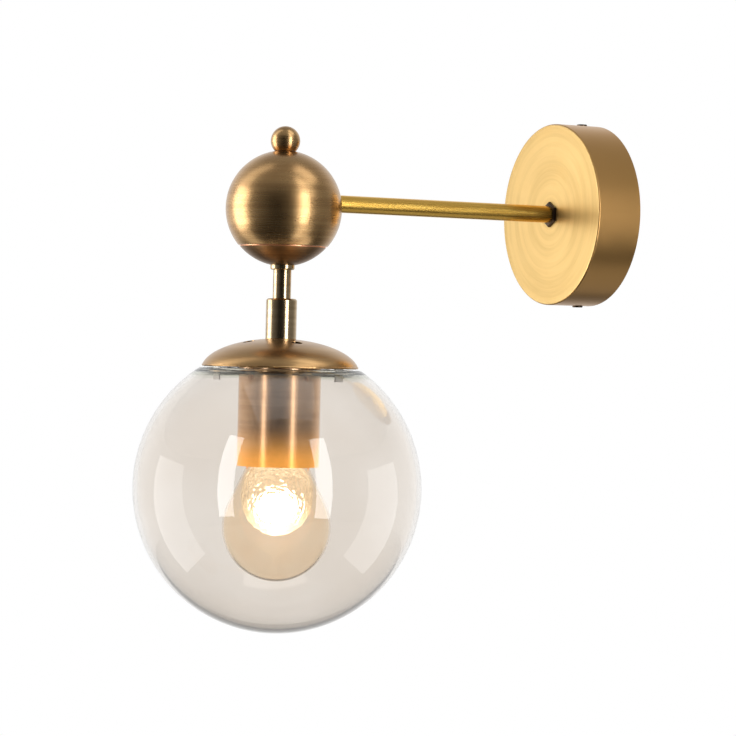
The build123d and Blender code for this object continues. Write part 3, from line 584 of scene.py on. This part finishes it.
def makeCore():
    # a faceted crystal cut off under the board, with a hot heart inside and a foot above
    work = bmesh.new()
    crumple(work, (bulb["coreRadius"], bulb["coreHalfHeight"]), bulb["facetDepth"], bulb["coreDrop"],
            bulb["coreSteps"])
    neck = level(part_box("bulb_envelope")[1].z) - bulb["cutBelow"]
    cut = bmesh.ops.bisect_plane(work, geom=work.verts[:] + work.edges[:] + work.faces[:],
                                 plane_co=(0, 0, neck * mm), plane_no=(0, 0, 1), clear_outer=True)
    rim = [item for item in cut["geom_cut"] if isinstance(item, bmesh.types.BMEdge)]
    bmesh.ops.holes_fill(work, edges=rim, sides=0)
    crumple(work, glow["heart"], glow["heartRough"], glow["drop"], glow["heartSteps"])
    bmesh.ops.recalc_face_normals(work, faces=work.faces)
    top = level(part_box("light_guide")[1].z)
    foot = neck + bulb["footGap"]
    bmesh.ops.create_cone(work, cap_ends=True, segments=bulb["footSteps"], radius1=bulb["footRadius"] * mm,
                          radius2=bulb["footRadius"] * mm, depth=(top - foot) * mm,
                          matrix=Matrix.Translation((0, 0, (top + foot) / 2 * mm)))
    settle("crystalCore", work, "bulb", ["light_guide"], crystalCore, 0)


makeBulb()
makeCore()
print("glass made")


slotFinish = {
    "antique_brass": antiqueBrass, "stem_brass": stemBrass, "gold_brass": goldBrass, "cup_brass": cupBrass,
    "dark_nut": darkNut, "zinc_steel": zincSteel, "plain_brass": plainBrass, "spring_steel": springSteel,
    "white_plastic": whitePlastic, "block_plastic": blockPlastic, "black_phenolic": blackPhenolic,
    "ceramic": glazedCeramic, "black_glass": blackGlass, "silicone": clearRubber, "bulb_metal": bulbMetal,
    "circuit_board": boardMask, "brown_insulation": brownCover, "blue_insulation": blueCover,
    "green_insulation": earthCover, "tinted_glass": globeGlass, "bulb_glass": bulbGlass,
    "crystal_core": crystalCore,
}
slotOf = {part["node"]: part["material_slot"] for part in frame["record"]["subparts"]}
ownFinish = {"canopy": coverBrass, "canopy_screw_top": darkNut, "canopy_screw_bottom": darkNut,
             "dome_cap": domeBrass, "ball_cap": shadedCapBrass}

for name, piece in frame["nodes"].items():
    finish = ownFinish.get(name) or slotFinish[slotOf[name]]
    for slot in piece.material_slots:
        slot.material = finish
print("carried-over pieces finished")


viewpoint = {"azimuth": 61.81, "elevation": 0.47, "roll": 1.39, "lens": 140.82, "sensor": 36,
             "place": (1.3298, -0.8483, -0.0727)}


def cameraAxes():
    a = math.radians(viewpoint["azimuth"])
    e = math.radians(viewpoint["elevation"])
    r = math.radians(viewpoint["roll"])
    back = Vector((math.sin(a) * math.cos(e), -math.cos(a) * math.cos(e), math.sin(e)))
    right = (-back).cross(Vector((0, 0, 1))).normalized()
    up = right.cross(-back)
    return right * math.cos(r) + up * math.sin(r), up * math.cos(r) - right * math.sin(r), back


def makeCamera():
    right, up, back = cameraAxes()
    data = bpy.data.cameras.new("camera")
    data.lens = viewpoint["lens"]
    data.sensor_width = viewpoint["sensor"]
    camera = bpy.data.objects.new("camera", data)
    turn = Matrix((right, up, back)).transposed().to_4x4()
    camera.matrix_world = Matrix.Translation(viewpoint["place"]) @ turn
    bpy.context.scene.collection.objects.link(camera)
    bpy.context.scene.camera = camera


makeCamera()


floor = {"level": -0.36, "radius": 0.55, "segments": 96, "colour": (0.86, 0.855, 0.845),
         "shade": (0.82, 0.815, 0.80), "mottleScale": 6.0, "roughness": 0.7}


def makeFloor():
    work = bmesh.new()
    bmesh.ops.create_circle(work, cap_ends=True, radius=floor["radius"], segments=floor["segments"])
    for vert in work.verts:
        vert.co += Vector((0, lampY / 2, floor["level"]))
    mesh = bpy.data.meshes.new("floor")
    work.to_mesh(mesh)
    work.free()
    piece = bpy.data.objects.new("floor", mesh)
    finish = Finish("floorPaint")
    mottle = finish.cloud(finish.place(), floor["mottleScale"], detail=4.0)
    finish.close(finish.principled({"Base Color": finish.blend(mottle, floor["colour"], floor["shade"]),
                                    "Roughness": floor["roughness"]}))
    piece.data.materials.append(finish.owner)
    piece.visible_glossy = False    # metal shows the studio of the world instead
    bpy.context.scene.collection.objects.link(piece)
    piece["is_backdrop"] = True


makeFloor()


blockers = bpy.data.collections.new("blockers")
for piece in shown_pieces():
    blockers.objects.link(piece)


studio = {"reach": 1.2, "level": -0.10}    # every softbox: its distance, and the height it turns to


def softbox(name, azimuth, elevation, width, height, power, targets, glassOnly):
    # azimuth and elevation are counted from the line between the object and the camera
    right, _, back = cameraAxes()
    right = Vector((right.x, right.y, 0)).normalized()
    toward = Vector((back.x, back.y, 0)).normalized()
    a = math.radians(azimuth)
    e = math.radians(elevation)
    heading = (toward * math.cos(a) + right * math.sin(a)) * math.cos(e) + Vector((0, 0, 1)) * math.sin(e)
    data = bpy.data.lights.new(name, "AREA")
    data.shape = "RECTANGLE"
    data.size = width
    data.size_y = height
    data.energy = power
    lamp = bpy.data.objects.new(name, data)
    lamp.location = Vector((0, lampY, studio["level"])) + heading * studio["reach"]
    lamp.rotation_euler = heading.to_track_quat("Z", "Y").to_euler()
    lamp.visible_camera = False
    bpy.context.scene.collection.objects.link(lamp)
    group = bpy.data.collections.new(name + "Targets")
    for piece in targets:
        group.objects.link(piece)
    lamp.light_linking.receiver_collection = group
    if glassOnly:
        lamp.visible_transmission = False    # shows in the glass itself, not in what stands behind it
    else:
        lamp.light_linking.blocker_collection = blockers    # the floor keeps no lamp off the object


def named(*names):
    return [bpy.data.objects[name] for name in names]


glassPieces = named("glassGlobe", "bulbGlass", "crystalCore")
otherPieces = glassPieces + named("socket_cup", "glass_clips", "clip_pads")
lit = {"globe": named("glassGlobe"), "cup": named("socket_cup"), "glass": glassPieces,
       "brass": [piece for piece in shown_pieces() if piece not in otherPieces],
       "round": named("ball_shell", "ball_cap", "finial_knob", "dome_cap"),
       "back": named("canopy", "arm_tube")}

# azimuth, elevation, width, height, power and the pieces that the softbox lights
softboxes = {
    "stripRight": (38, 9, 0.28, 1.35, 8.5, "globe"),
    "sweepRight": (93, -17, 0.74, 1.3, 4.6, "globe"),
    "cupStripRight": (41, 9, 0.20, 1.35, 2.4, "cup"),
    "stripLeft": (-38, 9, 0.28, 1.35, 8.5, "globe"),
    "sweepLeft": (-93, -17, 0.74, 1.3, 4.6, "globe"),
    "cupStripLeft": (-41, 9, 0.20, 1.35, 2.4, "cup"),
    "rightBox": (43, 4, 0.38, 1.2, 6.6, "brass"),
    "rightTall": (43, 0, 0.38, 4.5, 10, "brass"),
    "rightMidUpper": (58, 40, 0.38, 0.7, 1.0, "round"),
    "rightEndUpper": (84, 61, 0.40, 0.7, 1.5, "round"),
    "rightMidLower": (58, -40, 0.38, 0.7, 1.0, "round"),
    "rightEndLower": (84, -61, 0.40, 0.7, 1.5, "round"),
    "leftBox": (-95, 4, 0.80, 1.2, 9.5, "brass"),
    "leftTall": (-101, 0, 0.70, 9.0, 20, "brass"),
    "underBox": (118, -60, 1.0, 1.0, 1.1, "back"),
    "topBox": (10, 78, 0.9, 0.9, 1.6, "glass"),
}
for name, (azimuth, elevation, width, height, power, group) in softboxes.items():
    softbox(name, azimuth, elevation, width, height, power, lit[group], group == "globe")


filament = {"power": 0.35, "colour": (1.0, 0.62, 0.28), "radius": 0.004}


def makeFilament():
    # the bulb's own light; it is never seen itself
    data = bpy.data.lights.new("bulbLight", "POINT")
    data.energy = filament["power"]
    data.color = filament["colour"]
    data.shadow_soft_size = filament["radius"]
    lamp = bpy.data.objects.new("bulbLight", data)
    lamp.location = ballCentre - Vector((0, 0, glow["drop"] * mm))
    lamp.visible_camera = False
    lamp.visible_transmission = False
    lamp.visible_glossy = False
    bpy.context.scene.collection.objects.link(lamp)


makeFilament()


# around: share of a turn, where 0.5 is behind the camera, and the brightness there
surround = {"backdrop": 1.0, "fill": 0.8, "above": 0.40, "aboveEdge": (0.35, 0.95), "below": 0.03,
            "belowEdge": (-0.75, -0.15),
            "around": [(0.0, 1.0), (0.12, 1.0), (0.22, 0.75), (0.34, 0.20), (0.45, 0.0192), (0.5, 0.012),
                       (0.545, 0.0216), (0.62, 0.20), (0.78, 0.30), (0.90, 1.0), (1.0, 1.0)]}


def grey(brightness):
    return (brightness,) * 3


def makeWorld():
    world = bpy.data.worlds.new("studio")
    bpy.context.scene.world = world
    finish = Finish("studio", world)
    right, _, back = cameraAxes()
    heading = finish.node("ShaderNodeTexCoord", {}, {}, out="Generated")
    toCamera = finish.node("ShaderNodeVectorMath", {"operation": "DOT_PRODUCT"},
                           {0: heading, 1: back}, out="Value")
    toRight = finish.node("ShaderNodeVectorMath", {"operation": "DOT_PRODUCT"},
                          {0: heading, 1: right}, out="Value")
    turn = finish.node("ShaderNodeMath", {"operation": "ARCTAN2"}, {0: toRight, 1: toCamera})
    stops = [(at, grey(brightness)) for at, brightness in surround["around"]]
    share = turn / (2 * math.pi) + 0.5
    room = finish.node("ShaderNodeValToRGB", {"stops": stops}, {"Fac": share}, out="Color")
    height = finish.axes(heading)[2]
    room = finish.blend(height.above(*surround["aboveEdge"]), room, grey(surround["above"]))
    room = finish.blend(height.above(*surround["belowEdge"]), grey(surround["below"]), room)
    path = finish.tree.nodes.new("ShaderNodeLightPath")
    glossyDepth, glossyRay, throughRay, cameraRay = [
        Signal(finish, path.outputs[key])
        for key in ("Glossy Depth", "Is Glossy Ray", "Is Transmission Ray", "Is Camera Ray")]
    mirrored = glossyDepth.clipped()    # seen in metal, also through the glass
    glossy = (glossyRay + mirrored).clipped()
    seen = (cameraRay + throughRay * (1 - mirrored)).clipped()
    tone = finish.blend(glossy, grey(surround["fill"]), room)
    tone = finish.blend(seen, tone, grey(surround["backdrop"]))
    shader = finish.node("ShaderNodeBackground", {}, {"Color": tone, "Strength": 1.0})
    finish.close(shader, "ShaderNodeOutputWorld")


makeWorld()
bpy.context.scene.view_settings.view_transform = "Standard"
print("studio set")
